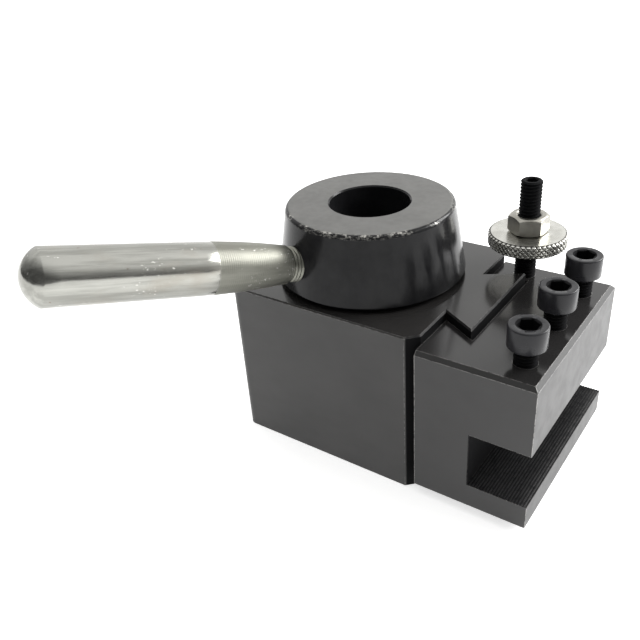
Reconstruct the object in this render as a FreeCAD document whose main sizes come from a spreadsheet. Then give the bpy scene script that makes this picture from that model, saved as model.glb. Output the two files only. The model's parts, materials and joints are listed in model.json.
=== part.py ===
"""Quick change tool post: a dovetail post with a cam and piston, its lever, and one tool holder.

Millimetres, +Z up. The origin is on the axis of the post's stud bore, in the plane of its bottom face.
+X points at the dovetail and the tool holder, and -Y is the side where the released lever stands.
"""
import FreeCAD
import Part
import Sketcher
import math
import os

from FreeCAD import Placement, Rotation, Vector

SIZES = [
    # post block and its dovetail
    ("block_width", 61.2),
    ("block_depth", 58.5),
    ("block_height", 50),
    ("block_corner", 2.5),
    ("dovetail_side_chamfer", 3.2),
    ("edge_break", 0.4),
    ("dovetail_root", 24),
    ("dovetail_depth", 10),
    ("dovetail_angle", 30),
    ("floor_thick", 8),
    ("cam_bore_radius", 19),
    ("running_gap", 0.05),
    # centre sleeve, washers and retaining ring
    ("stud_bore_radius", 6.25),
    ("sleeve_radius", 9.5),
    ("sleeve_top", 58),
    ("flange_radius", 17),
    ("flange_thick", 3),
    ("cam_washer_thick", 1),
    ("cap_washer_radius", 24),
    ("ring_thick", 1.2),
    ("ring_radius", 10.8),
    ("ring_seat_radius", 8.9),
    ("ring_opening", 5),
    # clamp cam: an eccentric between two journals, with a spigot that carries the cap
    ("cam_low", 17),
    ("cam_high", 33),
    ("cam_radius", 15.4),
    ("cam_throw", 0.5657),
    ("cam_throw_angle", 135),
    ("cam_core_radius", 14),
    ("spigot_radius", 15),
    ("spigot_top", 53.2),
    ("lever_sweep", 90),
    # piston, its spring and the stop screw
    ("piston_height", 25),
    ("piston_head_radius", 6),
    ("piston_head_length", 8),
    ("piston_shank_radius", 4.5),
    ("piston_shoulder", 31),
    ("piston_tip", 40.4),
    ("spring_wire", 1),
    ("spring_turns", 4),
    ("piston_travel", 0.8),
    ("stop_height", 41),
    ("stop_groove_depth", 2),
    ("dog_radius", 1.75),
    ("dog_length", 3),
    # lever cap and its pins
    ("cap_bottom", 51.2),
    ("cap_top", 71.4),
    ("cap_bottom_radius", 27.4),
    ("cap_top_radius", 24),
    ("cap_bore_radius", 11.5),
    ("cap_ledge_top", 55.7),
    ("cap_top_round", 1.4),
    ("cap_bottom_round", 0.5),
    ("pin_radius", 1.25),
    ("pin_circle", 13.25),
    ("pin_low", 46),
    ("pin_high", 59),
    # lever handle, measured along its own axis from the axis of the post
    ("handle_height", 52.61),
    ("handle_azimuth", 246.5),
    ("handle_tilt", 14.95),
    ("handle_thread_radius", 5),
    ("handle_thread_start", 18),
    ("handle_thread_end", 30),
    ("handle_neck_radius", 5.38),
    ("handle_taper_end", 52.3),
    ("handle_grip_radius", 7.06),
    ("handle_tip_radius", 7.3),
    ("handle_dome_start", 95.0),
    ("handle_length", 99.2),
    # tool holder
    ("holder_gap", 0.3),
    ("holder_rise", 3.3),
    ("holder_width", 32.3),
    ("holder_length", 57.6),
    ("holder_shift", -1.4),
    ("holder_height", 44.2),
    ("holder_edge_break", 1.1),
    ("pocket_clearance", 0.25),
    ("pocket_wall", 41.3),
    ("slot_floor", 7.3),
    ("slot_height", 16.6),
    ("slot_wall", 46.7),
    ("serration_count", 20),
    ("serration_pitch", 0.8),
    ("serration_depth", 0.16),
    # M6 clamping screws
    ("thread_radius", 3),
    ("screw_line", 56.3),
    ("screw_pitch", 19.5),
    ("screw_head_radius", 4.9),
    ("screw_head_height", 6),
    ("screw_length", 25),
    ("screw_socket_flats", 5),
    ("screw_socket_depth", 3),
    ("front_screw_top", 58.2),
    ("middle_screw_top", 59.2),
    ("rear_screw_top", 59.3),
    # height stud with its two nuts
    ("stud_across", 38.8),
    ("stud_along", 21.6),
    ("stud_bottom", 25),
    ("stud_top", 76.4),
    ("stud_socket_flats", 3),
    ("stud_socket_depth", 3.5),
    ("knurl_radius", 11),
    ("knurl_bottom", 57.3),
    ("knurl_thick", 3.9),
    ("knurl_break", 0.5),
    ("lock_height", 5.2),
    ("lock_flats", 10),
]
SHEET = "Sizes"
PIN_SIDES = ("left", "right")
SCREW_PLACES = {
    "front": "holder_shift - screw_pitch",
    "middle": "holder_shift",
    "rear": "holder_shift + screw_pitch",
}


def bound(text):
    """Expression text in which every size's name stands for its cell in the sheet."""
    names = {name for name, value in SIZES}
    words = []
    for word in text.split():
        words.append(SHEET + "." + word if word in names else word)
    return " ".join(words)


def bind(item, **values):
    """Tie properties of an object to the sheet, such as Radius="pin_radius"."""
    for name, text in values.items():
        item.setExpression(name, bound(text))


def place(item, across="0", along="0", up="0"):
    """Tie the position of an object to the sheet."""
    item.setExpression("Placement.Base.x", bound(across))
    item.setExpression("Placement.Base.y", bound(along))
    item.setExpression("Placement.Base.z", bound(up))


def size(doc, name):
    return float(doc.getObject(SHEET).get(name))


def make_sheet(doc):
    sheet = doc.addObject("Spreadsheet::Sheet", SHEET)
    for row, (name, value) in enumerate(SIZES, start=1):
        sheet.set("A%d" % row, name)
        sheet.set("B%d" % row, str(value))
        sheet.setAlias("B%d" % row, name)
    doc.recompute()


def new_body(doc, label):
    body = doc.addObject("PartDesign::Body", label)
    body.Label = label
    body.Placement = Placement()
    return body


def origin_plane(body, role):
    for feature in body.Origin.OriginFeatures:
        if feature.Role == role:
            return feature
    raise RuntimeError("no origin plane " + role)


def new_sketch(body, name, role):
    sketch = body.newObject("Sketcher::SketchObject", name)
    sketch.AttachmentSupport = (origin_plane(body, role), [""])
    sketch.MapMode = "FlatFace"
    return sketch


def outline(body, name, role, corners):
    """Sketch of a closed outline. Each corner is a pair of expressions, held by two distances."""
    sketch = new_sketch(body, name, role)
    count = len(corners)
    ring = []
    for index in range(count):
        turn = 2 * math.pi * index / count
        ring.append(Vector(10 * math.cos(turn), 10 * math.sin(turn), 0))
    for index in range(count):
        sketch.addGeometry(Part.LineSegment(ring[index], ring[(index + 1) % count]), False)
    for index in range(count):
        sketch.addConstraint(Sketcher.Constraint("Coincident", index, 2, (index + 1) % count, 1))
    for index, corner in enumerate(corners):
        for kind, start, text in zip(("DistanceX", "DistanceY"), ring[index], corner):
            held = sketch.addConstraint(Sketcher.Constraint(kind, -1, 1, index, 1, start))
            sketch.setExpression("Constraints[%d]" % held, bound(text))
    return sketch


def turned(doc, label, corners):
    """A body turned about Z from an outline of (radius, height) corners."""
    body = new_body(doc, label)
    sketch = outline(body, label + "_profile", "XZ_Plane", corners)
    turn = body.newObject("PartDesign::Revolution", label + "_turned")
    turn.Profile = sketch
    turn.ReferenceAxis = (sketch, ["V_Axis"])
    turn.Angle = 360
    sketch.Visibility = False
    doc.recompute()
    return body


def drill(body, name, radius, length, across="0", along="0", up="0", axis=Vector(0, 0, 1)):
    """Cut a round hole that starts at the given point and runs along the axis."""
    hole = body.newObject("PartDesign::SubtractiveCylinder", name)
    hole.Placement = Placement(Vector(0, 0, 0), Rotation(Vector(0, 0, 1), axis))
    bind(hole, Radius=radius, Height=length)
    place(hole, across, along, up)
    return hole


def hex_socket(body, name, flats, depth, top, across="0", along="0"):
    """Cut a hexagon socket down from the given height."""
    socket = body.newObject("PartDesign::SubtractivePrism", name)
    socket.Polygon = 6
    bind(socket, Circumradius=flats + " / 2 / cos( 30 )", Height=depth + " + 1")
    place(socket, across, along, "%s - %s" % (top, depth))
    return socket


def edges_of(feature, chosen):
    """Names of the edges of a feature for which chosen(edge) holds."""
    names = []
    for index, edge in enumerate(feature.Shape.Edges, start=1):
        if chosen(edge):
            names.append("Edge%d" % index)
    if not names:
        raise RuntimeError("no edge found on " + feature.Name)
    return names


def round_edges(doc, body, name, radius, chosen):
    doc.recompute()
    base = body.Tip
    fillet = body.newObject("PartDesign::Fillet", name)
    fillet.Base = (base, edges_of(base, chosen))
    bind(fillet, Radius=radius)
    doc.recompute()


def break_edges(doc, body, name, width, chosen):
    doc.recompute()
    base = body.Tip
    chamfer = body.newObject("PartDesign::Chamfer", name)
    chamfer.Base = (base, edges_of(base, chosen))
    bind(chamfer, Size=width)
    doc.recompute()


def circle_at(radius, height):
    """Test for a full circle of this radius about Z at this height."""
    def chosen(edge):
        if not isinstance(edge.Curve, Part.Circle):
            return False
        level = abs(edge.Curve.Center.z - height) < 0.01
        return level and abs(edge.Curve.Radius - radius) < 0.01
    return chosen


def flat_at(height):
    """Test for an edge that lies wholly at this height."""
    def chosen(edge):
        box = edge.BoundBox
        return abs(box.ZMin - height) < 0.01 and abs(box.ZMax - height) < 0.01
    return chosen


def upright_at(corners):
    """Test for a straight upright edge through one of the (x, y) corners."""
    def chosen(edge):
        box = edge.BoundBox
        if box.XLength > 0.01 or box.YLength > 0.01:
            return False
        return any(math.hypot(box.XMin - x, box.YMin - y) < 0.01 for x, y in corners)
    return chosen


def make_post_body(doc):
    """Block with a male dovetail, the cam's bore, the piston's bore and the stop screw's hole."""
    body = new_body(doc, "post_body")
    face = "block_width / 2"
    side = "block_depth / 2"
    tip = "block_width / 2 + dovetail_depth"
    root_half = "dovetail_root / 2"
    tip_half = "( dovetail_root / 2 + dovetail_depth * tan( dovetail_angle ) )"
    profile = outline(body, "post_outline", "XY_Plane", [
        ("- " + face, "- " + side),
        (face, "- " + side),
        (face, "- " + root_half),
        (tip, "- 1 * " + tip_half),
        (tip, tip_half),
        (face, root_half),
        (face, side),
        ("- " + face, side),
    ])
    block = body.newObject("PartDesign::Pad", "post_block")
    block.Profile = profile
    bind(block, Length="block_height")
    half_width = size(doc, "block_width") / 2
    half_depth = size(doc, "block_depth") / 2
    plain_corners = [(-half_width, y) for y in (-half_depth, half_depth)]
    round_edges(doc, body, "post_corners", "block_corner", upright_at(plain_corners))
    dovetail_corners = [(half_width, y) for y in (-half_depth, half_depth)]
    break_edges(doc, body, "post_chamfers", "dovetail_side_chamfer", upright_at(dovetail_corners))
    break_edges(doc, body, "post_top_edge", "edge_break", flat_at(size(doc, "block_height")))
    drill(body, "cam_bore", "cam_bore_radius", "block_height", up="floor_thick")
    drill(body, "sleeve_hole", "sleeve_radius", "block_height", up="- 1")
    out = Vector(1, 0, 0)
    drill(body, "piston_bore", "piston_head_radius + running_gap", "piston_shoulder", up="piston_height",
          axis=out)
    drill(body, "piston_nose_bore", "piston_shank_radius + running_gap", "block_width",
          up="piston_height", axis=out)
    drill(body, "stop_screw_hole", "thread_radius", "block_depth", up="stop_height", axis=Vector(0, 1, 0))
    return body


def make_centre_sleeve(doc):
    """Flanged sleeve around the lathe's stud, with a groove for the retaining ring."""
    flange_top = "floor_thick + flange_thick"
    groove_low = "cap_ledge_top + running_gap"
    groove_high = "cap_ledge_top + ring_thick + 2 * running_gap"
    return turned(doc, "centre_sleeve", [
        ("stud_bore_radius", "0"),
        ("sleeve_radius", "0"),
        ("sleeve_radius", "floor_thick"),
        ("flange_radius", "floor_thick"),
        ("flange_radius", flange_top),
        ("sleeve_radius", flange_top),
        ("sleeve_radius", groove_low),
        ("ring_seat_radius", groove_low),
        ("ring_seat_radius", groove_high),
        ("sleeve_radius", groove_high),
        ("sleeve_radius", "sleeve_top - edge_break"),
        ("sleeve_radius - edge_break", "sleeve_top"),
        ("stud_bore_radius", "sleeve_top"),
    ])


def make_washer(doc, label, inner, outer, low, high):
    return turned(doc, label, [(inner, low), (outer, low), (outer, high), (inner, high)])


def make_retaining_ring(doc):
    """Open ring that snaps in the sleeve's groove above the cap's ledge."""
    low = "cap_ledge_top + running_gap * 1.5"
    body = make_washer(doc, "retaining_ring", "ring_seat_radius + running_gap / 2", "ring_radius",
                       low, low + " + ring_thick")
    gap = body.newObject("PartDesign::SubtractiveBox", "ring_gap")
    bind(gap, Length="ring_opening", Width="ring_radius + 1", Height="ring_thick + 2")
    place(gap, "- ring_opening / 2", "0", low + " - 1")
    return body


def make_clamp_cam(doc):
    """Hollow cam: an eccentric that pushes the piston, between two journals, with a stop groove."""
    low = "floor_thick + flange_thick + cam_washer_thick + running_gap"
    journal = "cam_bore_radius - running_gap"
    body = turned(doc, "clamp_cam", [
        ("0", low),
        (journal, low),
        (journal, "cam_low"),
        ("cam_core_radius", "cam_low"),
        ("cam_core_radius", "cam_high"),
        (journal, "cam_high"),
        (journal, "block_height"),
        ("spigot_radius", "block_height"),
        ("spigot_radius", "spigot_top"),
        ("0", "spigot_top"),
    ])
    lobe = body.newObject("PartDesign::AdditiveCylinder", "cam_eccentric")
    bind(lobe, Radius="cam_radius", Height="cam_high - cam_low")
    place(lobe, "cam_throw * cos( cam_throw_angle )", "cam_throw * sin( cam_throw_angle )", "cam_low")
    drill(body, "cam_running_bore", "sleeve_radius + running_gap", "spigot_top + 1")
    drill_pin_holes(body, "cam")
    floor = "cam_bore_radius - stop_groove_depth"
    groove_low = "stop_height - dog_radius - 0.3"
    groove_high = "stop_height + dog_radius + 0.3"
    profile = outline(body, "stop_groove_profile", "XZ_Plane", [
        (floor, groove_low),
        ("cam_bore_radius + 1", groove_low),
        ("cam_bore_radius + 1", groove_high),
        (floor, groove_high),
    ])
    profile.AttachmentOffset = Placement(Vector(0, 0, 0), Rotation(Vector(0, 1, 0), 0))
    profile.setExpression("AttachmentOffset.Rotation.Angle", bound("90 + lever_sweep / 2"))
    groove = body.newObject("PartDesign::Groove", "stop_groove")
    groove.Profile = profile
    groove.ReferenceAxis = (profile, ["V_Axis"])
    groove.Midplane = True
    bind(groove, Angle="lever_sweep + 16")
    return body


def pin_place(side):
    """Where a cap pin stands: square to the handle, on the pin circle."""
    turn = "handle_azimuth " + {"left": "- 90", "right": "+ 90"}[side]
    return "pin_circle * cos( %s )" % turn, "pin_circle * sin( %s )" % turn


def drill_pin_holes(body, owner):
    for side in PIN_SIDES:
        across, along = pin_place(side)
        drill(body, "%s_pin_hole_%s" % (owner, side), "pin_radius", "pin_high - pin_low", across, along,
              "pin_low")


def make_cap_drive_pin(doc, side):
    """Dowel pin that keys the cap to the cam."""
    body = new_body(doc, "cap_drive_pin_" + side)
    pin = body.newObject("PartDesign::AdditiveCylinder", "pin_" + side)
    bind(pin, Radius="pin_radius", Height="pin_high - pin_low")
    across, along = pin_place(side)
    place(pin, across, along, "pin_low")
    break_edges(doc, body, "pin_ends_" + side, "edge_break / 2",
                lambda edge: isinstance(edge.Curve, Part.Circle))
    return body


def handle_turn(doc):
    """Rotation that stands local Z along the handle."""
    azimuth = math.radians(size(doc, "handle_azimuth"))
    tilt = math.radians(size(doc, "handle_tilt"))
    level = math.cos(tilt)
    return Rotation(Vector(0, 0, 1), Vector(level * math.cos(azimuth), level * math.sin(azimuth),
                                            math.sin(tilt)))


def make_lever_cap(doc):
    """Tapered round cap with a stepped bore, a ledge for the retaining ring and the handle's hole."""
    recess = "spigot_radius + running_gap"
    recess_top = "spigot_top + running_gap"
    body = turned(doc, "lever_cap", [
        (recess, "cap_bottom"),
        ("cap_bottom_radius", "cap_bottom"),
        ("cap_top_radius", "cap_top"),
        ("cap_bore_radius", "cap_top"),
        ("cap_bore_radius", "cap_ledge_top"),
        ("sleeve_radius + 2 * running_gap", "cap_ledge_top"),
        ("sleeve_radius + 2 * running_gap", recess_top),
        (recess, recess_top),
    ])
    top = size(doc, "cap_top")
    round_edges(doc, body, "cap_top_rim", "cap_top_round", circle_at(size(doc, "cap_top_radius"), top))
    round_edges(doc, body, "cap_bottom_rim", "cap_bottom_round",
                circle_at(size(doc, "cap_bottom_radius"), size(doc, "cap_bottom")))
    break_edges(doc, body, "cap_bore_rim", "edge_break", circle_at(size(doc, "cap_bore_radius"), top))
    drill_pin_holes(body, "cap")
    hole = body.newObject("PartDesign::SubtractiveCylinder", "handle_hole")
    turn = handle_turn(doc)
    foot = turn.multVec(Vector(0, 0, size(doc, "handle_thread_start")))
    hole.Placement = Placement(foot + Vector(0, 0, size(doc, "handle_height")), turn)
    bind(hole, Radius="handle_thread_radius", Height="handle_thread_end")
    return body


def make_lever_handle(doc):
    """Round bar with a threaded end, a tapered neck and a domed tip, turned along its own axis."""
    body = turned(doc, "lever_handle", [
        ("0", "handle_thread_start"),
        ("handle_thread_radius - edge_break", "handle_thread_start"),
        ("handle_thread_radius", "handle_thread_start + edge_break"),
        ("handle_thread_radius", "handle_thread_end"),
        ("handle_neck_radius", "handle_thread_end"),
        ("handle_grip_radius", "handle_taper_end"),
        ("handle_tip_radius", "handle_length"),
        ("0", "handle_length"),
    ])
    round_edges(doc, body, "handle_dome", "handle_length - handle_dome_start",
                circle_at(size(doc, "handle_tip_radius"), size(doc, "handle_length")))
    body.Placement = Placement(Vector(0, 0, 0), handle_turn(doc))
    body.setExpression("Placement.Base.z", bound("handle_height"))
    return body


def lay_along_x(body, up):
    """Lay a body turned about Z on its side, so that its axis runs along +X at the given height."""
    body.Placement = Placement(Vector(0, 0, 0), Rotation(Vector(0, 0, 1), Vector(1, 0, 0)))
    body.setExpression("Placement.Base.z", bound(up))


def make_clamp_piston(doc):
    """Headed piston between the cam and the holder, drawn back."""
    head = "cam_radius - cam_throw * cos( 45 ) + running_gap"
    head_end = head + " + piston_head_length"
    body = turned(doc, "clamp_piston", [
        ("0", head),
        ("piston_head_radius", head),
        ("piston_head_radius", head_end),
        ("piston_shank_radius", head_end),
        ("piston_shank_radius", "piston_tip - edge_break"),
        ("piston_shank_radius - edge_break", "piston_tip"),
        ("0", "piston_tip"),
    ])
    lay_along_x(body, "piston_height")
    return body


def make_piston_spring(doc):
    """Coil spring between the piston's head and the shoulder in the block."""
    body = new_body(doc, "piston_spring")
    middle = "( piston_head_radius + running_gap + piston_shank_radius ) / 2"
    first = "cam_radius - cam_throw * cos( 45 ) + piston_head_length + spring_wire / 2 + 3 * running_gap"
    wire = new_sketch(body, "spring_section", "XZ_Plane")
    wire.addGeometry(Part.Circle(Vector(5, 25, 0), Vector(0, 0, 1), 0.5), False)
    for kind, second, text in (("Radius", None, "spring_wire / 2"), ("DistanceX", 3, middle),
                               ("DistanceY", 3, first)):
        if second is None:
            held = wire.addConstraint(Sketcher.Constraint(kind, 0, 0.5))
        else:
            held = wire.addConstraint(Sketcher.Constraint(kind, -1, 1, 0, second, 5))
        wire.setExpression("Constraints[%d]" % held, bound(text))
    coil = body.newObject("PartDesign::AdditiveHelix", "spring_coil")
    coil.Profile = wire
    coil.ReferenceAxis = (wire, ["V_Axis"])
    coil.Mode = "height-turns-angle"
    bind(coil, Turns="spring_turns",
         Height="piston_shoulder - ( %s ) - spring_wire / 2 - running_gap" % first)
    lay_along_x(body, "piston_height")
    return body


def make_cam_stop_screw(doc):
    """Set screw in the back of the block, whose dog point runs in the cam's groove."""
    dog_start = "cam_bore_radius - stop_groove_depth + 2 * running_gap"
    screw_start = "cam_bore_radius + 1"
    screw_end = "block_depth / 2 - 1"
    body = turned(doc, "cam_stop_screw", [
        ("0", dog_start),
        ("dog_radius", dog_start),
        ("dog_radius", screw_start),
        ("thread_radius", screw_start),
        ("thread_radius", screw_end),
        ("0", screw_end),
    ])
    hex_socket(body, "stop_screw_socket", "stud_socket_flats", "stud_socket_depth", screw_end)
    body.Placement = Placement(Vector(0, 0, 0), Rotation(Vector(0, 0, 1), Vector(0, 1, 0)))
    body.setExpression("Placement.Base.z", bound("stop_height"))
    return body


def make_tool_holder(doc):
    """Holder with a female dovetail, a tool slot open away from the post, and three screw holes."""
    body = new_body(doc, "tool_holder")
    near = "( block_width / 2 + holder_gap )"
    far = "( block_width / 2 + holder_gap + holder_width )"
    front = "( holder_shift - holder_length / 2 )"
    back = "( holder_shift + holder_length / 2 )"
    spread = "pocket_clearance / cos( dovetail_angle )"
    mouth = "( dovetail_root / 2 + holder_gap * tan( dovetail_angle ) + %s )" % spread
    wall = "( dovetail_root / 2 + ( pocket_wall - block_width / 2 ) * tan( dovetail_angle ) + %s )" % spread
    profile = outline(body, "holder_outline", "XY_Plane", [
        (near, front),
        (far, front),
        (far, back),
        (near, back),
        (near, mouth),
        ("pocket_wall", wall),
        ("pocket_wall", "- 1 * " + wall),
        (near, "- 1 * " + mouth),
    ])
    block = body.newObject("PartDesign::Pad", "holder_block")
    block.Profile = profile
    bind(block, Length="holder_height")
    outer = size(doc, "block_width") / 2 + size(doc, "holder_gap") + size(doc, "holder_width")
    top = size(doc, "holder_height")
    inner_reach = size(doc, "slot_wall")
    at_top = flat_at(top)

    def outer_top(edge):
        return at_top(edge) and edge.BoundBox.XMax > inner_reach

    break_edges(doc, body, "holder_top_edge", "holder_edge_break", outer_top)

    def outer_bottom(edge):
        return flat_at(0)(edge) and edge.BoundBox.XMin > outer - 0.1

    break_edges(doc, body, "holder_bottom_edge", "holder_edge_break / 4", outer_bottom)
    slot = body.newObject("PartDesign::SubtractiveBox", "tool_slot")
    bind(slot, Length="holder_width", Width="holder_length + 2", Height="slot_height")
    place(slot, "slot_wall", front + " - 1", "slot_floor")
    serration = outline(body, "serration_profile", "XZ_Plane", [
        ("slot_wall + serration_pitch * 0.6", "slot_floor + 0.05"),
        ("slot_wall + serration_pitch", "slot_floor - serration_depth"),
        ("slot_wall + serration_pitch * 1.4", "slot_floor + 0.05"),
    ])
    cut = body.newObject("PartDesign::Pocket", "serration")
    cut.Profile = serration
    cut.Midplane = True
    bind(cut, Length="2 * holder_length")
    doc.recompute()
    repeat = body.newObject("PartDesign::LinearPattern", "serrations")
    repeat.Originals = [cut]
    repeat.Direction = (serration, ["H_Axis"])
    bind(repeat, Length="serration_pitch * ( serration_count - 1 )", Occurrences="serration_count")
    body.Tip = repeat
    doc.recompute()
    for spot, along in SCREW_PLACES.items():
        drill(body, "screw_hole_" + spot, "thread_radius + running_gap", "holder_height", "screw_line",
              along, "slot_floor + slot_height / 2")
    drill(body, "stud_hole", "thread_radius", "holder_height", "stud_across", "stud_along",
          "stud_bottom - holder_rise - 1")
    body.setExpression("Placement.Base.z", bound("holder_rise"))
    return body


def make_clamp_screw(doc, spot):
    """Socket head cap screw that clamps the tool in the slot."""
    top = spot + "_screw_top"
    under = top + " - screw_head_height"
    body = turned(doc, "clamp_screw_" + spot, [
        ("0", under + " - screw_length"),
        ("thread_radius - edge_break", under + " - screw_length"),
        ("thread_radius", under + " - screw_length + edge_break"),
        ("thread_radius", under),
        ("screw_head_radius", under),
        ("screw_head_radius", top + " - edge_break"),
        ("screw_head_radius - edge_break", top),
        ("0", top),
    ])
    hex_socket(body, "socket_" + spot, "screw_socket_flats", "screw_socket_depth", top)
    body.setExpression("Placement.Base.x", bound("screw_line"))
    body.setExpression("Placement.Base.y", bound(SCREW_PLACES[spot]))
    return body


def make_height_stud(doc):
    """Threaded stud that stands in the holder and carries the height nuts."""
    body = turned(doc, "height_stud", [
        ("0", "stud_bottom"),
        ("thread_radius", "stud_bottom"),
        ("thread_radius", "stud_top - edge_break"),
        ("thread_radius - edge_break", "stud_top"),
        ("0", "stud_top"),
    ])
    hex_socket(body, "stud_socket", "stud_socket_flats", "stud_socket_depth", "stud_top")
    stand_on_stud(body)
    return body


def stand_on_stud(body):
    body.setExpression("Placement.Base.x", bound("stud_across"))
    body.setExpression("Placement.Base.y", bound("stud_along"))


def make_knurled_nut(doc):
    """Knurled disc nut that sets the holder's height on the post."""
    low = "knurl_bottom"
    high = "knurl_bottom + knurl_thick"
    rim = "knurl_radius - knurl_break"
    body = turned(doc, "knurled_height_nut", [
        ("thread_radius + running_gap", low),
        (rim, low),
        ("knurl_radius", low + " + knurl_break"),
        ("knurl_radius", high + " - knurl_break"),
        (rim, high),
        ("thread_radius + running_gap", high),
    ])
    stand_on_stud(body)
    return body


def make_lock_nut(doc):
    """Hexagon nut with turned corners, above the knurled nut."""
    body = new_body(doc, "height_lock_nut")
    low = "knurl_bottom + knurl_thick + running_gap"
    high = low + " + lock_height"
    flats = "lock_flats / 2"
    corner = "lock_flats / 2 / cos( 30 )"
    nut = body.newObject("PartDesign::AdditivePrism", "lock_nut_block")
    nut.Polygon = 6
    bind(nut, Circumradius=corner, Height="lock_height")
    place(nut, "0", "0", low)
    slope = "( lock_flats / 2 / cos( 30 ) + 1 - lock_flats / 2 ) * tan( 30 )"
    for name, face, step in (("top", high, "-"), ("bottom", low, "+")):
        profile = outline(body, "lock_nut_%s_profile" % name, "XZ_Plane", [
            (flats, face),
            (corner + " + 1", face),
            (corner + " + 1", "%s %s %s" % (face, step, slope)),
        ])
        corners = body.newObject("PartDesign::Groove", "lock_nut_%s_corners" % name)
        corners.Profile = profile
        corners.ReferenceAxis = (profile, ["V_Axis"])
        corners.Angle = 360
    drill(body, "lock_nut_bore", "thread_radius + running_gap", "stud_top")
    stand_on_stud(body)
    return body


def make_parts(doc):
    parts = [
        make_post_body(doc),
        make_centre_sleeve(doc),
        make_washer(doc, "cam_thrust_washer", "sleeve_radius + 2 * running_gap", "flange_radius",
                    "floor_thick + flange_thick", "floor_thick + flange_thick + cam_washer_thick"),
        make_washer(doc, "cap_thrust_washer", "cam_bore_radius + 0.3", "cap_washer_radius",
                    "block_height", "cap_bottom - running_gap"),
        make_retaining_ring(doc),
        make_clamp_cam(doc),
        make_lever_cap(doc),
        make_lever_handle(doc),
        make_clamp_piston(doc),
        make_piston_spring(doc),
        make_cam_stop_screw(doc),
        make_tool_holder(doc),
        make_height_stud(doc),
        make_knurled_nut(doc),
        make_lock_nut(doc),
    ]
    for side in PIN_SIDES:
        parts.append(make_cap_drive_pin(doc, side))
    for spot in SCREW_PLACES:
        parts.append(make_clamp_screw(doc, spot))
    return parts


def check(doc, parts):
    for item in doc.Objects:
        if "Invalid" in item.State or "Error" in item.State:
            raise RuntimeError("%s failed: %s" % (item.Name, item.State))
    for body in parts:
        if body.Shape.isNull() or not body.Shape.isValid():
            raise RuntimeError("no valid shape for " + body.Label)
        if len(body.Shape.Solids) != 1:
            raise RuntimeError("%s is not one solid" % body.Label)


def main():
    doc = FreeCAD.newDocument("quick_change_tool_post")
    make_sheet(doc)
    parts = make_parts(doc)
    doc.recompute()
    check(doc, parts)
    os.makedirs("parts", exist_ok=True)
    for body in parts:
        body.Shape.exportStep("parts/%s.step" % body.Label)


main()
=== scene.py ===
import json
import math

import bpy
from mathutils import Matrix, Vector


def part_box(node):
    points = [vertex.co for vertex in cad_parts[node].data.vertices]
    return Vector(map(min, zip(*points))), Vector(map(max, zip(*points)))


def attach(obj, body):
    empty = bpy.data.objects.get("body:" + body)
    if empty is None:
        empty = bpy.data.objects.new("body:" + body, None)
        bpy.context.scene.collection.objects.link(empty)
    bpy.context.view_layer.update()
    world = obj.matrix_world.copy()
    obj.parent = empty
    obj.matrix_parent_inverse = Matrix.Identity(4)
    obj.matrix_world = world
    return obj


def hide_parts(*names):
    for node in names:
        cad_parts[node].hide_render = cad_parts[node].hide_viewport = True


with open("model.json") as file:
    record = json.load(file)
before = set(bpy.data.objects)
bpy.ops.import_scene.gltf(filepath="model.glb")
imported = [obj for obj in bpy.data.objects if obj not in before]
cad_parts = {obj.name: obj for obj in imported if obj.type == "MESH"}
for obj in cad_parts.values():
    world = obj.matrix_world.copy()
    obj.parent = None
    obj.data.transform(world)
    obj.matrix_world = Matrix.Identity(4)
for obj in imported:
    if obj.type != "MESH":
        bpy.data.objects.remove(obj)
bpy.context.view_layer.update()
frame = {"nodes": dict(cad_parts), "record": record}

MM = 0.001
TAU = 2 * math.pi

# camera
CAMERA_PLACE = Vector((108.13, -168.61, 152.68)) * MM
CAMERA_AZIMUTH = math.radians(37.44)
CAMERA_ELEVATION = math.radians(30.87)
CAMERA_ROLL = math.radians(-4.44)
CAMERA_LENS = 42.33
SENSOR_WIDTH = 36

# studio: a dome that is bright around one direction, a glowing floor and one panel light
DOME_BRIGHT_SIDE = Vector((-0.10, 0.75, 0.65))
DOME_DIM_BELOW = -0.25
DOME_BRIGHT_ABOVE = 0.70
DIM_LEVEL = 0.14
BRIGHT_LEVEL = 1.25
FLOOR_GLOW = 0.66
FLOOR_REACH = 4.0
FLOOR_GAP = 0.05 * MM
PANEL_PLACE = Vector((0.34, 0.42, 0.36))
PANEL_TARGET = Vector((0.10, 0.08, 0.02))
PANEL_WIDTH = 0.40
PANEL_HEIGHT = 0.30
PANEL_POWER = 4.0

# threads and knurls
FINE_PITCH = 1.0 * MM
FINE_DEPTH = 0.55 * MM
HANDLE_PITCH = 1.0 * MM
HANDLE_DEPTH = 0.38 * MM
THREAD_CREST = 0.14
THREAD_ROOT = 0.86
KNURL_TEETH = 48
KNURL_RADIUS = 11 * MM
KNURL_SLANT = 0.16
KNURL_FLAT = 0.42
KNURL_DEPTH = 0.48 * MM
KNURL_RIM = 0.35 * MM

# lock nut
NUT_BORE_GAP = 0.08 * MM
NUT_FACE_SHARE = 0.93
NUT_CHAMFER = math.radians(30)
LOCK_NUT_TURN = math.radians(-4.5)

# lever handle, along its own axis from the axis of the post
HANDLE_AZIMUTH = math.radians(246.5)
HANDLE_TILT = math.radians(14.95)
HANDLE_HEIGHT = 52.61 * MM
HANDLE_START = 18 * MM
THREAD_END = 30 * MM
TAPER_END = 52.3 * MM
HANDLE_END = 99.2 * MM
THREAD_RADIUS = 4.97 * MM
NECK_RADIUS = 5.38 * MM
GRIP_RADIUS = 7.06 * MM
TIP_RADIUS = 7.3 * MM
TIP_DEPTH = 4.2 * MM
TOOL_MARK_PITCH = 0.6 * MM
TOOL_MARK_DEPTH = 0.035 * MM

# screws
HEAD_HEIGHT = 6 * MM
SHANK_RADIUS = 3 * MM
HEAD_SOCKET = 5 * MM
STUD_SOCKET = 3 * MM
SOCKET_DEPTH = 3 * MM

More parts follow.
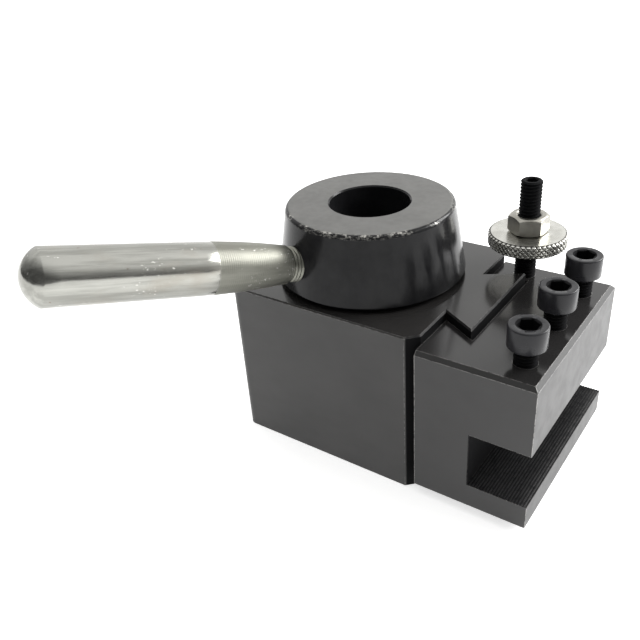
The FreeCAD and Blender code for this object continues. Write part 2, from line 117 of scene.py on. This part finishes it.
# places where the finish changes, and where shade is painted in
HOLDER_GAP = 0.3 * MM
# width of the post's side along the holder that is painted dark as shade
SHADE_STRIP = 2.9 * MM
# screw shanks and sockets nearer the axis than this are painted dark as shade; the whole stud falls
# inside it
SCREW_SHADE_RADIUS = 3.15 * MM
CAP_RIM_RADIUS = 24 * MM
SLOT_MARGIN_LOW = 0.5 * MM
SLOT_MARGIN_HIGH = 0.4 * MM
# painted shade in the holder's slot: full up to this far out from its inner wall, gone this far
# past its mouth
SLOT_SHADED_FROM_WALL = 12
SLOT_UNSHADED_PAST_MOUTH = 8
# near-black painted shade for the holder's slot, the post beside the holder, and screw shanks and
# sockets
PAINTED_SHADE_BLACK = (0.013, 0.013, 0.014)


# ---------------------------------------------------------------- mesh helpers

def ring(count, height, radius):
    """Points around local Z at one height. The radius is a length or depends on the angle."""
    points = []
    for index in range(count):
        angle = TAU * index / count
        reach = radius(angle) if callable(radius) else radius
        points.append(Vector((reach * math.cos(angle), reach * math.sin(angle), height)))
    return points


def loft(name, rings, tube=False):
    """Closed mesh through rings of equal count. A tube joins its last ring to its first."""
    count = len(rings[0])
    points = [point for each in rings for point in each]
    faces = []
    for row in range(len(rings) if tube else len(rings) - 1):
        low = row * count
        high = (row + 1) % len(rings) * count
        for index in range(count):
            follow = (index + 1) % count
            faces.append((low + index, low + follow, high + follow, high + index))
    if not tube:
        faces.append(tuple(reversed(range(count))))
        faces.append(tuple(range(len(points) - count, len(points))))
    mesh = bpy.data.meshes.new(name)
    mesh.from_pydata(points, [], faces)
    mesh.update()
    mesh.polygons.foreach_set("use_smooth", [True] * len(faces))
    mesh.set_sharp_from_angle(angle=math.radians(32))
    piece = bpy.data.objects.new(name, mesh)
    bpy.context.scene.collection.objects.link(piece)
    return piece


def hexagon(flats):
    """Radius of a hexagon across its flats, as a function of the angle."""
    def radius(angle):
        turn = (angle + math.pi / 6) % (math.pi / 3) - math.pi / 6
        return flats / 2 / math.cos(turn)
    return radius


def ramp_between(value, low, high):
    """Share of the way from low to high, held between 0 and 1."""
    return min(1.0, max(0.0, (value - low) / (high - low)))


def thread_cut(phase):
    """Depth of a V thread, from 0 on its flat crest to 1 in its root."""
    away = abs(phase % 1 - 0.5) * 2
    return ramp_between(away, THREAD_CREST, THREAD_ROOT)


def thread_rings(count, low, high, radius, pitch, depth, fade):
    """Rings of an outside thread that runs out over the fade length at both ends."""
    rows = max(2, round((high - low) / pitch * 9))
    rings = []
    for row in range(rows + 1):
        height = low + (high - low) * row / rows
        held = min(ramp_between(height - low, 0, fade), ramp_between(high - height, 0, fade))

        def radius_at(angle, height=height, held=held):
            return radius - depth * held * thread_cut(height / pitch - angle / TAU)

        rings.append(ring(count, height, radius_at))
    return rings


def socket_rings(count, top, flats, depth, rim):
    """Rings that go in from a flat top, over a small countersink, down a hexagon socket."""
    across = flats / math.sqrt(3)
    sink = 0.25 * MM
    return [
        ring(count, top, rim),
        ring(count, top, across + sink * 0.6),
        ring(count, top - sink, hexagon(flats)),
        ring(count, top - depth, hexagon(flats)),
        ring(count, top - depth - flats * 0.25, flats * 0.06),
    ]


# ---------------------------------------------------------------- pieces

def stand(piece, low, high):
    """Put a piece lofted around the origin on the upright axis of its CAD box."""
    piece.location = ((low.x + high.x) / 2, (low.y + high.y) / 2, 0)


def make_clamp_screw(node, body):
    """Socket head cap screw with a real thread, in place of its plain solid."""
    low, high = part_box(node)
    count = 72
    head = (high.x - low.x) / 2
    under = high.z - HEAD_HEIGHT
    corner = 0.40 * MM
    rings = [ring(count, low.z, SHANK_RADIUS - FINE_DEPTH)]
    rings += thread_rings(count, low.z + 0.2 * MM, under - 0.4 * MM,
                          SHANK_RADIUS, FINE_PITCH, FINE_DEPTH, 0.6 * MM)
    rings += [
        ring(count, under, SHANK_RADIUS),
        ring(count, under, head - 0.30 * MM),
        ring(count, under + 0.12 * MM, head - 0.12 * MM),
        ring(count, under + 0.35 * MM, head),
    ]
    steps = 4
    for step in range(steps + 1):
        turn = math.pi / 2 * step / steps
        rings.append(ring(count, high.z - corner * (1 - math.sin(turn)),
                          head - corner * (1 - math.cos(turn))))
    rings += socket_rings(count, high.z, HEAD_SOCKET, SOCKET_DEPTH, head - 0.60 * MM)
    piece = loft(node + "_visual", rings)
    stand(piece, low, high)
    return dress(piece, body, node, SCREW_BLACK)


def make_height_stud():
    """Threaded stud with a hexagon socket in its top."""
    low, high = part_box("height_stud")
    count = 64
    break_width = 0.35 * MM
    rings = [ring(count, low.z, SHANK_RADIUS - FINE_DEPTH)]
    rings += thread_rings(count, low.z + break_width, high.z - break_width,
                          SHANK_RADIUS, FINE_PITCH, FINE_DEPTH, 0.3 * MM)
    rings += [ring(count, high.z - 0.1 * MM, SHANK_RADIUS - break_width)]
    rings += socket_rings(count, high.z, STUD_SOCKET, SOCKET_DEPTH,
                          SHANK_RADIUS - break_width * 1.3)
    piece = loft("height_stud_visual", rings)
    stand(piece, low, high)
    return dress(piece, "holder", "height_stud", SCREW_BLACK)


def diamond(angle, height):
    """Height of a diamond knurl, from 0 in its grooves to 1 on its points."""
    round_rim = KNURL_TEETH * angle / TAU
    slanted = KNURL_TEETH * height / KNURL_RADIUS * KNURL_SLANT
    left = (round_rim + slanted) % 1
    right = (round_rim - slanted) % 1
    return min(1 - abs(2 * left - 1), 1 - abs(2 * right - 1), KNURL_FLAT) / KNURL_FLAT


def make_knurled_nut():
    """Disc nut with a diamond knurl cut in its rim."""
    low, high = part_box("knurled_height_nut")
    count = KNURL_TEETH * 9
    outer = (high.x - low.x) / 2
    bore = SHANK_RADIUS + NUT_BORE_GAP
    rings = [
        ring(count, low.z, bore + 0.35 * MM),
        ring(count, low.z, outer - 1.0 * MM),
    ]
    rows = 30
    for row in range(rows + 1):
        height = low.z + (high.z - low.z) * row / rows
        end = min(height - low.z, high.z - height)
        rim = outer - KNURL_RIM * 1.6 * (1 - ramp_between(end, 0, KNURL_RIM))
        held = ramp_between(end, 0, KNURL_RIM * 1.4)

        def radius_at(angle, height=height, rim=rim, held=held):
            return rim - KNURL_DEPTH * (0.25 + 0.75 * held) * (1 - diamond(angle, height))

        rings.append(ring(count, height, radius_at))
    rings += [
        ring(count, high.z, outer - 1.0 * MM),
        ring(count, high.z, outer - 1.25 * MM),
        ring(count, high.z, bore + 0.35 * MM),
        ring(count, high.z - 0.35 * MM, bore),
        ring(count, low.z + 0.35 * MM, bore),
    ]
    piece = loft("knurled_nut_visual", rings, tube=True)
    stand(piece, low, high)
    return dress(piece, "height_nut", "knurled_height_nut", KNURLED_STEEL)


def make_lock_nut():
    """Hexagon nut with its corners turned off on both ends."""
    low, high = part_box("height_lock_nut")
    count = 240
    flats = high.y - low.y
    bore = SHANK_RADIUS + NUT_BORE_GAP
    across = hexagon(flats)
    face = flats / 2 * NUT_FACE_SHARE
    slope = 1 / math.tan(NUT_CHAMFER)
    chamfer_depth = (flats / math.sqrt(3) - face) / slope
    rows = 14
    rings = [ring(count, low.z, bore + 0.5 * MM)]
    for side in (0, 1):
        for row in range(rows + 1):
            part = row / rows if side == 0 else 1 - row / rows
            depth = chamfer_depth * part
            height = low.z + depth if side == 0 else high.z - depth
            limit = face + depth * slope

            def radius_at(angle, limit=limit):
                return min(across(angle), limit)

            rings.append(ring(count, height, radius_at))
    rings += [
        ring(count, high.z, bore + 0.5 * MM),
        ring(count, high.z - 0.4 * MM, bore),
        ring(count, low.z + 0.4 * MM, bore),
    ]
    piece = loft("lock_nut_visual", rings, tube=True)
    stand(piece, low, high)
    piece.rotation_euler = (0, 0, LOCK_NUT_TURN)
    return dress(piece, "lock_nut", "height_lock_nut", NICKEL)


def handle_profile(along):
    """Radius of the handle's taper and grip, with the tool's rings on the taper."""
    if along >= TAPER_END:
        part = ramp_between(along, TAPER_END, HANDLE_END)
        return GRIP_RADIUS + (TIP_RADIUS - GRIP_RADIUS) * part
    part = ramp_between(along, THREAD_END, TAPER_END)
    swell = min(part + 0.16 * math.sin(math.pi * part), 1)
    marks = 0.5 + 0.5 * math.cos(TAU * along / TOOL_MARK_PITCH)
    fade = 0.35 + 0.65 * abs(math.cos(2.3 * math.pi * part))
    return NECK_RADIUS + (GRIP_RADIUS - NECK_RADIUS) * swell - TOOL_MARK_DEPTH * marks * fade


def make_lever_handle():
    """Turned handle: thread, tapered neck with tool marks, plain grip and a domed tip."""
    count = 96
    rings = [ring(count, HANDLE_START, THREAD_RADIUS - HANDLE_DEPTH)]
    rings += thread_rings(count, HANDLE_START + 0.3 * MM, THREAD_END - 0.2 * MM, THREAD_RADIUS,
                          HANDLE_PITCH, HANDLE_DEPTH, 1.0 * MM)
    rows = 220
    for row in range(rows + 1):
        along = THREAD_END + (TAPER_END - THREAD_END) * row / rows
        rings.append(ring(count, along, handle_profile(along)))
    dome_start = HANDLE_END - TIP_DEPTH
    rows = 12
    for row in range(1, rows + 1):
        along = TAPER_END + (dome_start - TAPER_END) * row / rows
        rings.append(ring(count, along, handle_profile(along)))
    shoulder = handle_profile(dome_start)
    ball = (shoulder ** 2 + TIP_DEPTH ** 2) / (2 * TIP_DEPTH)
    centre = HANDLE_END - ball
    widest = math.asin(shoulder / ball)
    steps = 22
    for step in range(1, steps):
        turn = widest * (1 - step / steps)
        rings.append(ring(count, centre + ball * math.cos(turn), ball * math.sin(turn)))
    piece = loft("lever_handle_visual", rings)
    level = math.cos(HANDLE_TILT)
    direction = Vector((level * math.cos(HANDLE_AZIMUTH),
                        level * math.sin(HANDLE_AZIMUTH),
                        math.sin(HANDLE_TILT)))
    turn = Vector((0, 0, 1)).rotation_difference(direction).to_matrix().to_4x4()
    piece.matrix_world = Matrix.Translation((0, 0, HANDLE_HEIGHT)) @ turn
    return dress(piece, "lever", "lever_handle", HANDLE_STEEL)


def dress(piece, body, node, material):
    """Give a new piece its material and its body, and hide the CAD node that it stands for."""
    piece.data.materials.append(material)
    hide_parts(node)
    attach(piece, body)
    return piece


# ---------------------------------------------------------------- material helpers

class Surface:
    """A node material around one Principled shader, with its texture space in millimetres."""

    def __init__(self, name, **constants):
        self.material = bpy.data.materials.new(name)
        self.material.use_nodes = True
        self.nodes = self.material.node_tree.nodes
        self.links = self.material.node_tree.links
        self.shader = self.nodes["Principled BSDF"]
        for socket, value in constants.items():
            self.shader.inputs[socket.replace("_", " ")].default_value = value

    def feed(self, target, value):
        """Link a socket to the target, or set the target to a value."""
        if isinstance(value, bpy.types.NodeSocket):
            self.links.new(value, target)
        else:
            target.default_value = value

    def space(self, stretch=(1, 1, 1)):
        """Object coordinates in millimetres, squeezed along each axis."""
        where = self.nodes.new("ShaderNodeTexCoord")
        mapping = self.nodes.new("ShaderNodeMapping")
        mapping.inputs["Scale"].default_value = [1000 * each for each in stretch]
        self.links.new(where.outputs["Object"], mapping.inputs["Vector"])
        return mapping.outputs["Vector"]

    def noise(self, scale, stretch=(1, 1, 1), detail=4, rough=0.55):
        node = self.nodes.new("ShaderNodeTexNoise")
        node.inputs["Scale"].default_value = scale
        node.inputs["Detail"].default_value = detail
        node.inputs["Roughness"].default_value = rough
        self.links.new(self.space(stretch), node.inputs["Vector"])
        return node.outputs["Fac"]

    def remap(self, value, from_low, from_high, to_low=0.0, to_high=1.0):
        node = self.nodes.new("ShaderNodeMapRange")
        node.interpolation_type = "SMOOTHSTEP"
        self.feed(node.inputs["Value"], value)
        node.inputs["From Min"].default_value = from_low
        node.inputs["From Max"].default_value = from_high
        node.inputs["To Min"].default_value = to_low
        node.inputs["To Max"].default_value = to_high
        return node.outputs["Result"]

    def math(self, operation, first, second=0.0):
        node = self.nodes.new("ShaderNodeMath")
        node.operation = operation
        self.feed(node.inputs[0], first)
        self.feed(node.inputs[1], second)
        return node.outputs["Value"]

    def mix(self, factor, first, second):
        """Mix of two colours, each given as a colour or as a socket."""
        node = self.nodes.new("ShaderNodeMix")
        node.data_type = "RGBA"
        self.feed(node.inputs["Factor"], factor)
        for socket, value in (("A", first), ("B", second)):
            target = next(each for each in node.inputs
                          if each.name == socket and each.type == "RGBA")
            if isinstance(value, tuple):
                value = (*value, 1)
            self.feed(target, value)
        return next(each for each in node.outputs if each.type == "RGBA")

    def edges(self, radius):
        """Mask of the outer edges, found where a rounded normal leaves the true one."""
        rounded = self.nodes.new("ShaderNodeBevel")
        rounded.samples = 6
        rounded.inputs["Radius"].default_value = radius
        dot = self.nodes.new("ShaderNodeVectorMath")
        dot.operation = "DOT_PRODUCT"
        self.links.new(rounded.outputs["Normal"], dot.inputs[0])
        self.links.new(self.normal(), dot.inputs[1])
        return self.remap(dot.outputs["Value"], 0.995, 0.90, 0.0, 1.0)

    def normal(self):
        return self.nodes.new("ShaderNodeNewGeometry").outputs["Normal"]

    def facing_up(self):
        """How far the surface faces up, from -1 to 1."""
        split = self.nodes.new("ShaderNodeSeparateXYZ")
        self.links.new(self.normal(), split.inputs["Vector"])
        return split.outputs["Z"]

    def place(self):
        """Object coordinates in millimetres as X, Y and Z."""
        split = self.nodes.new("ShaderNodeSeparateXYZ")
        self.links.new(self.space(), split.inputs["Vector"])
        return split.outputs

    def off_axis(self):
        """Distance from the object's own Z axis in millimetres."""
        across, along = self.place()[0:2]
        return self.math("SQRT", self.math("ADD", self.math("MULTIPLY", across, across),
                                           self.math("MULTIPLY", along, along)))

    def inside(self, low, high):
        """Mask of a box given by its lowest and highest corners in millimetres."""
        mask = 1.0
        for where, floor, top in zip(self.place(), low, high):
            mask = self.math("MULTIPLY", mask, self.remap(where, floor - 0.02, floor + 0.02))
            mask = self.math("MULTIPLY", mask, self.remap(where, top + 0.02, top - 0.02))
        return mask

    def bump(self, height, distance, strength=1.0):
        node = self.nodes.new("ShaderNodeBump")
        node.inputs["Strength"].default_value = strength
        node.inputs["Distance"].default_value = distance
        self.links.new(height, node.inputs["Height"])
        self.links.new(node.outputs["Normal"], self.shader.inputs["Normal"])

    def set(self, socket, value):
        self.feed(self.shader.inputs[socket], value)


def make_oxide(name, dark, light, rough_low, rough_high, worn, edge, chips=(0.46, 0.60),
               specular=0.5, slot_box=None, shade_past=None, shade_core=None):
    """Black oxide on ground steel: mottled, faintly grained, worn to bare metal along its edges.

    The ground top faces are smoother. Painted shade makes it near-black, more metallic and rougher
    inside slot_box (two corners), on the sides past a given X, and nearer the axis than a given
    radius, the last two set by the arguments after slot_box. All of these are in millimetres.
    """
    surface = Surface(name, Specular_IOR_Level=specular)
    mottle = surface.noise(0.06, detail=5)
    grain = surface.noise(1.1, stretch=(1, 1, 0.12), detail=3)
    smear = surface.noise(0.25, stretch=(0.4, 1, 1), detail=5)
    colour = surface.mix(surface.remap(mottle, 0.30, 0.72), dark, light)
    chipped = surface.remap(surface.noise(0.8, detail=6, rough=0.7), *chips)
    wear = surface.math("MULTIPLY", surface.edges(edge), chipped)
    wear = surface.math("MULTIPLY", wear, 0.75)
    rough = surface.remap(smear, 0.3, 0.7, rough_low, rough_high)
    up = surface.facing_up()
    rough = surface.math("MULTIPLY", rough, surface.remap(up, 0.95, 0.99, 1.0, 0.42))
    # masks where shade is painted in as near-black
    painted_shade_masks = []
    # painted shade deep in the slot, fading out towards its mouth
    if slot_box:
        deep = surface.remap(surface.place()["X"], slot_box[1][0] + SLOT_UNSHADED_PAST_MOUTH,
                             slot_box[0][0] + SLOT_SHADED_FROM_WALL)
        painted_shade_masks.append(surface.math("MULTIPLY", surface.inside(*slot_box), deep))
    # painted shade on the sides past an X: the post's faces beside the holder
    if shade_past:
        beyond = surface.remap(surface.place()["X"], shade_past - 0.1, shade_past + 0.1)
        painted_shade_masks.append(surface.math("MULTIPLY", beyond, surface.remap(up, 0.9, 0.6)))
    # painted shade near the axis: screw shanks and sockets, and all of the stud
    if shade_core:
        painted_shade_masks.append(surface.remap(surface.off_axis(), shade_core + 0.1, shade_core - 0.1))
    metal = wear
    for mask in painted_shade_masks:
        # painted shade: near-black colour inside each mask
        colour = surface.mix(mask, colour, PAINTED_SHADE_BLACK)
        metal = surface.math("MAXIMUM", metal, surface.math("MULTIPLY", mask, 0.9))
        rough = surface.math("MAXIMUM", rough, surface.math("MULTIPLY", mask, 0.85))
        wear = surface.math("MULTIPLY", wear, surface.remap(mask, 0.0, 1.0, 1.0, 0.15))
    surface.set("Base Color", surface.mix(wear, colour, (worn, worn * 0.98, worn * 0.95)))
    surface.set("Metallic", metal)
    surface.set("Roughness", rough)
    surface.bump(surface.math("ADD", grain, surface.math("MULTIPLY", mottle, 0.3)), 0.008 * MM, 0.4)
    return surface.material


def make_cap_black(name, top, rim_radius):
    """Gloss black side, satin machined top, and bright scratches along the top rim."""
    surface = Surface(name, Specular_IOR_Level=0.17)
    up = surface.place()["Z"]
    level = surface.remap(surface.facing_up(), 0.90, 0.985)
    high = surface.remap(up, top - 0.6, top - 0.15)
    flat_top = surface.math("MULTIPLY", level, high)
    rim_out = surface.remap(surface.off_axis(), rim_radius - 1.3, rim_radius - 0.6)
    rim_up = surface.remap(up, top - 1.4, top - 0.7)
    rim = surface.math("MULTIPLY", rim_out, rim_up)
    chips = surface.remap(surface.noise(0.8, stretch=(1, 1, 2.2), detail=8, rough=0.7), 0.48, 0.62)
    patch = surface.remap(surface.noise(0.07, detail=2), 0.42, 0.55)
    wear = surface.math("MULTIPLY", surface.math("MULTIPLY", rim, chips), patch)
    cloud = surface.noise(0.12, detail=6)
    clouded = surface.remap(cloud, 0.35, 0.65)
    side = surface.mix(clouded, (0.010, 0.010, 0.011), (0.017, 0.017, 0.018))
    face = surface.mix(clouded, (0.140, 0.139, 0.134), (0.160, 0.159, 0.153))
    colour = surface.mix(flat_top, side, face)
    surface.set("Base Color", surface.mix(wear, colour, (0.46, 0.45, 0.42)))
    surface.set("Metallic", surface.math("MAXIMUM", wear, surface.math("MULTIPLY", flat_top, 0.22)))
    smear = surface.noise(0.5, stretch=(1, 1, 0.25), detail=4)
    side_rough = surface.remap(smear, 0.3, 0.7, 0.13, 0.24)
    gain = surface.math("MULTIPLY", flat_top, 0.27)
    surface.set("Roughness", surface.math("ADD", side_rough, gain))
    waves = surface.noise(0.10, stretch=(1, 1, 0.3), detail=2)
    surface.bump(surface.math("ADD", waves, surface.math("MULTIPLY", smear, 0.05)), 0.05 * MM, 0.15)
    return surface.material


def make_handle_steel(name):
    """Plain drawn bar: long streaks, warm stains, small pits painted bright as glints, and a duller
    turned taper.
    """
    surface = Surface(name, Metallic=1.0)
    streak = surface.noise(0.55, stretch=(1, 1, 0.07), detail=6, rough=0.65)
    stain = surface.noise(0.07, stretch=(1, 1, 0.6), detail=5)
    sparkle = surface.noise(1.3, stretch=(1, 1, 0.6), detail=5, rough=0.7)
    sparkle = surface.remap(sparkle, 0.62, 0.66)
    cluster = surface.remap(surface.noise(0.16, stretch=(1, 1, 0.5), detail=2), 0.50, 0.60)
    pits_and_glints = surface.math("MULTIPLY", sparkle, cluster)
    specks = surface.remap(surface.noise(0.9, detail=2), 0.27, 0.24)
    turned = surface.remap(surface.place()["Z"], TAPER_END / MM + 0.3, TAPER_END / MM - 0.3)
    streaked = surface.remap(streak, 0.35, 0.65)
    bright = surface.mix(streaked, (0.29, 0.29, 0.267), (0.41, 0.41, 0.38))
    stained = surface.remap(stain, 0.50, 0.66, 0.0, 0.75)
    warm = surface.mix(stained, bright, (0.33, 0.31, 0.27))
    dull = surface.mix(streaked, (0.21, 0.21, 0.182), (0.27, 0.27, 0.236))
    metal = surface.mix(turned, warm, dull)
    metal = surface.mix(specks, metal, (0.20, 0.16, 0.13))
    # the pits are painted bright as glints; their dents are in the bump below
    surface.set("Base Color", surface.mix(pits_and_glints, metal, (0.70, 0.69, 0.66)))
    rough = surface.math("ADD", surface.remap(streak, 0.3, 0.7, 0.10, 0.20),
                         surface.math("MULTIPLY", stained, 0.08))
    surface.set("Roughness", surface.math("ADD", rough, surface.math("MULTIPLY", turned, 0.30)))
    dents = surface.noise(0.22, stretch=(1, 1, 0.3), detail=4)
    height = surface.math("ADD", surface.math("MULTIPLY", streak, 0.35), dents)
    height = surface.math("SUBTRACT", height, surface.math("MULTIPLY", pits_and_glints, 0.6))
    surface.bump(height, 0.05 * MM, 0.5)
    return surface.material


def make_knurled_steel(name, rim):
    """Bright turned disc whose knurl grooves are painted dark as shade."""
    surface = Surface(name, Metallic=1.0)
    away = surface.off_axis()
    turned = surface.nodes.new("ShaderNodeTexNoise")
    turned.inputs["Scale"].default_value = 4.0
    turned.noise_dimensions = "1D"
    surface.links.new(away, turned.inputs["W"])
    # the knurl's roots and end chamfers, nearer the axis than its crests, are painted dark as shade
    groove = surface.remap(away, rim - 0.46, rim - 0.20)
    edge = surface.remap(away, rim - 0.75, rim - 0.65)
    face = surface.math("SUBTRACT", 1.0, edge)
    unshaded = surface.math("MAXIMUM", groove, face)
    cloud = surface.noise(0.25, detail=5)
    bright = surface.mix(surface.remap(cloud, 0.35, 0.65), (0.48, 0.475, 0.44),
                         (0.60, 0.595, 0.56))
    # painted shade: near-black in the knurl roots, bright elsewhere
    surface.set("Base Color", surface.mix(unshaded, (0.055, 0.052, 0.048), bright))
    surface.set("Roughness", surface.remap(turned.outputs["Fac"], 0.3, 0.7, 0.24, 0.36))
    surface.bump(turned.outputs["Fac"], 0.01 * MM, 0.6)
    return surface.material


def make_plain_steel(name, dark, light, rough_low, rough_high):
    """Ground or plated steel with a faint cloud and fine scratches."""
    surface = Surface(name, Metallic=1.0)
    cloud = surface.noise(0.3, detail=6)
    scratch = surface.noise(2.2, stretch=(0.15, 1, 1), detail=4)
    surface.set("Base Color", surface.mix(surface.remap(cloud, 0.35, 0.65), dark, light))
    surface.set("Roughness", surface.remap(scratch, 0.3, 0.7, rough_low, rough_high))
    surface.bump(scratch, 0.006 * MM, 0.5)
    return surface.material


def make_floor_white(name):
    """Matt white floor with a faint glow of its own."""
    surface = Surface(name, Roughness=0.7, Specular_IOR_Level=0.2, Emission_Color=(1, 1, 1, 1),
                      Emission_Strength=FLOOR_GLOW)
    cloud = surface.noise(0.004, detail=2)
    surface.set("Base Color", surface.mix(cloud, (0.86, 0.86, 0.86), (0.90, 0.90, 0.90)))
    return surface.material


# ---------------------------------------------------------------- stage

def make_camera():
    data = bpy.data.cameras.new("camera")
    data.lens = CAMERA_LENS
    data.sensor_width = SENSOR_WIDTH
    data.clip_start = 0.01
    camera = bpy.data.objects.new("camera", data)
    bpy.context.scene.collection.objects.link(camera)
    level = math.cos(CAMERA_ELEVATION)
    back = Vector((math.sin(CAMERA_AZIMUTH) * level, -math.cos(CAMERA_AZIMUTH) * level,
                   math.sin(CAMERA_ELEVATION)))
    right = Vector((math.cos(CAMERA_AZIMUTH), math.sin(CAMERA_AZIMUTH), 0))
    up = back.cross(right)
    rolled_right = math.cos(CAMERA_ROLL) * right + math.sin(CAMERA_ROLL) * up
    rolled_up = math.cos(CAMERA_ROLL) * up - math.sin(CAMERA_ROLL) * right
    turn = Matrix((rolled_right, rolled_up, back)).transposed().to_4x4()
    camera.matrix_world = Matrix.Translation(CAMERA_PLACE) @ turn
    bpy.context.scene.camera = camera


def make_panel_light():
    """Rectangular light that stands behind the post, to its right."""
    data = bpy.data.lights.new("right_panel", "AREA")
    data.shape = "RECTANGLE"
    data.size = PANEL_WIDTH
    data.size_y = PANEL_HEIGHT
    data.energy = PANEL_POWER
    light = bpy.data.objects.new("right_panel", data)
    bpy.context.scene.collection.objects.link(light)
    light.location = PANEL_PLACE
    light.rotation_euler = (PANEL_PLACE - PANEL_TARGET).to_track_quat("Z", "Y").to_euler()


def make_floor():
    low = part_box("post_body")[0].z - FLOOR_GAP
    mesh = bpy.data.meshes.new("floor")
    signs = ((-1, -1), (1, -1), (1, 1), (-1, 1))
    corners = [(FLOOR_REACH * across, FLOOR_REACH * along, low) for across, along in signs]
    mesh.from_pydata(corners, [], [(0, 1, 2, 3)])
    floor = bpy.data.objects.new("floor", mesh)
    bpy.context.scene.collection.objects.link(floor)
    mesh.materials.append(make_floor_white("floor_white"))


def make_world():
    """Soft dome, bright overhead and behind the post."""
    world = bpy.data.worlds.new("studio")
    world.use_nodes = True
    nodes = world.node_tree.nodes
    links = world.node_tree.links
    where = nodes.new("ShaderNodeTexCoord")
    toward = nodes.new("ShaderNodeVectorMath")
    toward.operation = "DOT_PRODUCT"
    toward.inputs[1].default_value = DOME_BRIGHT_SIDE.normalized()
    glow = nodes.new("ShaderNodeMapRange")
    glow.interpolation_type = "SMOOTHSTEP"
    glow.inputs["From Min"].default_value = DOME_DIM_BELOW
    glow.inputs["From Max"].default_value = DOME_BRIGHT_ABOVE
    glow.inputs["To Min"].default_value = DIM_LEVEL
    glow.inputs["To Max"].default_value = BRIGHT_LEVEL
    links.new(where.outputs["Generated"], toward.inputs[0])
    links.new(toward.outputs["Value"], glow.inputs["Value"])
    links.new(glow.outputs["Result"], nodes["Background"].inputs["Strength"])
    nodes["Background"].inputs["Color"].default_value = (1.0, 1.0, 0.99, 1)
    bpy.context.scene.world = world


# ---------------------------------------------------------------- scene

CAP_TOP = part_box("lever_cap")[1].z
DISC_LOW, DISC_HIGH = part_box("knurled_height_nut")
BLOCK_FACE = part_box("tool_holder")[0].x - HOLDER_GAP
SLOT_LOW, SLOT_HIGH = frame["record"]["physics"]["openings"][0]["box_m"]
# box of the holder's slot, a little enlarged, where shade is painted in
SHADED_SLOT = ([(each - SLOT_MARGIN_LOW) / MM for each in SLOT_LOW],
             [(each + SLOT_MARGIN_HIGH) / MM for each in SLOT_HIGH])

# the post's faces beside the holder are painted dark as shade
BLOCK_BLACK = make_oxide("block_black", (0.020, 0.0192, 0.0188), (0.027, 0.0257, 0.025),
                         0.32, 0.42, worn=0.35, edge=0.35 * MM, chips=(0.42, 0.56),
                         shade_past=(BLOCK_FACE - SHADE_STRIP) / MM)
# the holder's slot is painted dark as shade
HOLDER_BLACK = make_oxide("holder_black", (0.0185, 0.0178, 0.0178), (0.0245, 0.0236, 0.0236),
                          0.34, 0.40, worn=0.5, edge=0.35 * MM, chips=(0.36, 0.52),
                          slot_box=SHADED_SLOT)
# screw shanks and sockets, and the stud, are painted dark as shade
SCREW_BLACK = make_oxide("screw_black", (0.012, 0.012, 0.0135), (0.022, 0.022, 0.025),
                         0.26, 0.36, worn=0.22, edge=0.12 * MM, specular=0.27,
                         shade_core=SCREW_SHADE_RADIUS / MM)
CAP_BLACK = make_cap_black("cap_black", CAP_TOP / MM, CAP_RIM_RADIUS / MM)
HANDLE_STEEL = make_handle_steel("handle_steel")
KNURLED_STEEL = make_knurled_steel("knurled_steel", (DISC_HIGH.x - DISC_LOW.x) / 2 / MM)
NICKEL = make_plain_steel("nickel", (0.29, 0.28, 0.25), (0.37, 0.36, 0.325), 0.30, 0.40)
GROUND_STEEL = make_plain_steel("ground_steel", (0.34, 0.335, 0.33), (0.46, 0.455, 0.45),
                                0.26, 0.40)
# near-black steel painted as shade on the sleeve down the bore and the thrust washer in the gap
# under the cap
SHADE_DARK_STEEL = make_plain_steel("shade_dark_steel", (0.045, 0.045, 0.05), (0.08, 0.08, 0.085),
                               0.25, 0.40)

CAD_LOOKS = {
    "post_body": BLOCK_BLACK,
    "tool_holder": HOLDER_BLACK,
    "lever_cap": CAP_BLACK,
    "cam_stop_screw": SCREW_BLACK,
    "retaining_ring": SCREW_BLACK,
    "centre_sleeve": SHADE_DARK_STEEL,
    "clamp_cam": GROUND_STEEL,
    "cam_thrust_washer": GROUND_STEEL,
    "cap_thrust_washer": SHADE_DARK_STEEL,
    "cap_drive_pin_left": GROUND_STEEL,
    "cap_drive_pin_right": GROUND_STEEL,
    "clamp_piston": GROUND_STEEL,
    "piston_spring": GROUND_STEEL,
}

for node, look in CAD_LOOKS.items():
    mesh = frame["nodes"][node].data
    mesh.materials.clear()
    mesh.materials.append(look)

make_camera()
make_floor()
make_world()
make_panel_light()
make_lever_handle()
make_clamp_screw("clamp_screw_front", "screw_front")
make_clamp_screw("clamp_screw_middle", "screw_middle")
make_clamp_screw("clamp_screw_rear", "screw_rear")
make_height_stud()
make_knurled_nut()
make_lock_nut()

bpy.context.scene.view_settings.view_transform = "Standard"

bpy.context.view_layer.update()
